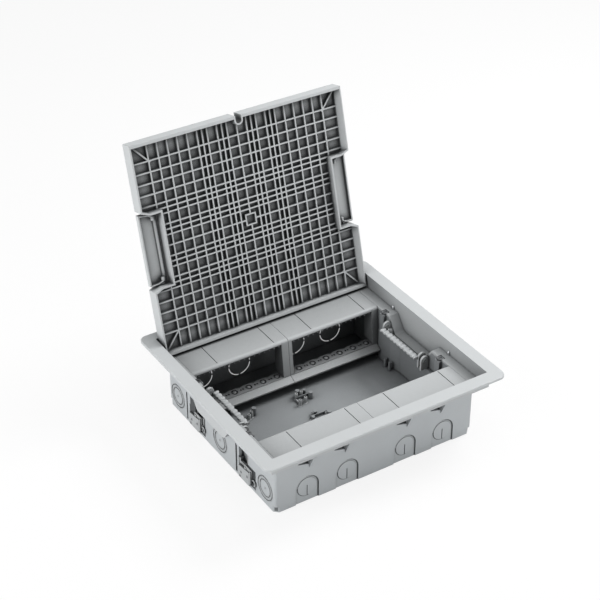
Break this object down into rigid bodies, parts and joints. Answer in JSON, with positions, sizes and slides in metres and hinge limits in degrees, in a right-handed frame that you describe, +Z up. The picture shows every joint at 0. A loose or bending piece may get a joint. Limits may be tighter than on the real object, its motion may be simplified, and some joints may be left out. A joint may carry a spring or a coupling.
{
  "type": "floor_socket_box",
  "caption": "Square in-floor socket box with an open ribbed lid, device windows facing a central well, side cable exits and floor clamps",
  "frame": {"origin": "centre of the tub's flat underside", "axes": "+X right along the lid hinge, +Y from the front edge to the lid hinge, +Z up out of the floor"},
  "size_m": [0.268, 0.282, 0.2708],
  "materials": {
    "light_grey_plastic": "fine matte moulded polycarbonate",
    "zinc_steel": "bright zinc-plated steel"
  },
  "bodies": {
    "base": {"frame": "light_grey_plastic", "tub": "light_grey_plastic", "comb_screws": "zinc_steel", "cable_comb_left": "light_grey_plastic", "lid_hinge_pin_left": "zinc_steel", "device_holder_front_left": "light_grey_plastic", "device_holder_rear_left": "light_grey_plastic", "cable_comb_right": "light_grey_plastic", "lid_hinge_pin_right": "zinc_steel", "device_holder_front_right": "light_grey_plastic", "device_holder_rear_right": "light_grey_plastic"},
    "lid": {"lid": "light_grey_plastic", "flap_pin_left": "zinc_steel", "flap_pin_right": "zinc_steel"},
    "cable_flap_left": {"cable_flap_left": "light_grey_plastic"},
    "cable_flap_right": {"cable_flap_right": "light_grey_plastic"},
    "clamp_screw_front_left": {"clamp_screw_front_left": "zinc_steel"},
    "clamp_claw_front_left": {"clamp_claw_front_left": "light_grey_plastic"},
    "clamp_screw_rear_left": {"clamp_screw_rear_left": "zinc_steel"},
    "clamp_claw_rear_left": {"clamp_claw_rear_left": "light_grey_plastic"},
    "clamp_screw_front_right": {"clamp_screw_front_right": "zinc_steel"},
    "clamp_claw_front_right": {"clamp_claw_front_right": "light_grey_plastic"},
    "clamp_screw_rear_right": {"clamp_screw_rear_right": "zinc_steel"},
    "clamp_claw_rear_right": {"clamp_claw_rear_right": "light_grey_plastic"}
  },
  "joints": [
    {"name": "lid_hinge", "type": "hinge", "parent": "base", "child": "lid", "pos_m": [0, 0.09989, 0.06857], "axis": [1, 0, 0], "range_deg": [0, 104.8]},
    {"name": "cable_flap_left_hinge", "type": "hinge", "parent": "lid", "child": "cable_flap_left", "pos_m": [-0.1003, 0.12942, 0.16408], "axis": [0, -0.2566, -0.9665], "range_deg": [0, 95]},
    {"name": "cable_flap_right_hinge", "type": "hinge", "parent": "lid", "child": "cable_flap_right", "pos_m": [0.1003, 0.12942, 0.16408], "axis": [0, 0.2566, 0.9665], "range_deg": [0, 95]},
    {"name": "clamp_screw_front_left_turn", "type": "hinge", "parent": "base", "child": "clamp_screw_front_left", "pos_m": [-0.1095, -0.0498, 0.0581], "axis": [0, 0, 1], "range_deg": [0, 4320]},
    {"name": "clamp_claw_front_left_lift", "type": "slide", "parent": "base", "child": "clamp_claw_front_left", "axis": [0, 0, 1], "range_m": [0, 0.012]},
    {"name": "clamp_screw_rear_left_turn", "type": "hinge", "parent": "base", "child": "clamp_screw_rear_left", "pos_m": [-0.1095, 0.0446, 0.0581], "axis": [0, 0, 1], "range_deg": [0, 4320]},
    {"name": "clamp_claw_rear_left_lift", "type": "slide", "parent": "base", "child": "clamp_claw_rear_left", "axis": [0, 0, 1], "range_m": [0, 0.012]},
    {"name": "clamp_screw_front_right_turn", "type": "hinge", "parent": "base", "child": "clamp_screw_front_right", "pos_m": [0.1095, -0.0498, 0.0581], "axis": [0, 0, 1], "range_deg": [0, 4320]},
    {"name": "clamp_claw_front_right_lift", "type": "slide", "parent": "base", "child": "clamp_claw_front_right", "axis": [0, 0, 1], "range_m": [0, 0.012]},
    {"name": "clamp_screw_rear_right_turn", "type": "hinge", "parent": "base", "child": "clamp_screw_rear_right", "pos_m": [0.1095, 0.0446, 0.0581], "axis": [0, 0, 1], "range_deg": [0, 4320]},
    {"name": "clamp_claw_rear_right_lift", "type": "slide", "parent": "base", "child": "clamp_claw_rear_right", "axis": [0, 0, 1], "range_m": [0, 0.012]}
  ],
  "couplings": [
    {"joint": "clamp_screw_front_left_turn", "follows": "clamp_claw_front_left_lift", "rad_per_m": 6283.2},
    {"joint": "clamp_screw_rear_left_turn", "follows": "clamp_claw_rear_left_lift", "rad_per_m": 6283.2},
    {"joint": "clamp_screw_front_right_turn", "follows": "clamp_claw_front_right_lift", "rad_per_m": 6283.2},
    {"joint": "clamp_screw_rear_right_turn", "follows": "clamp_claw_rear_right_lift", "rad_per_m": 6283.2}
  ]
}
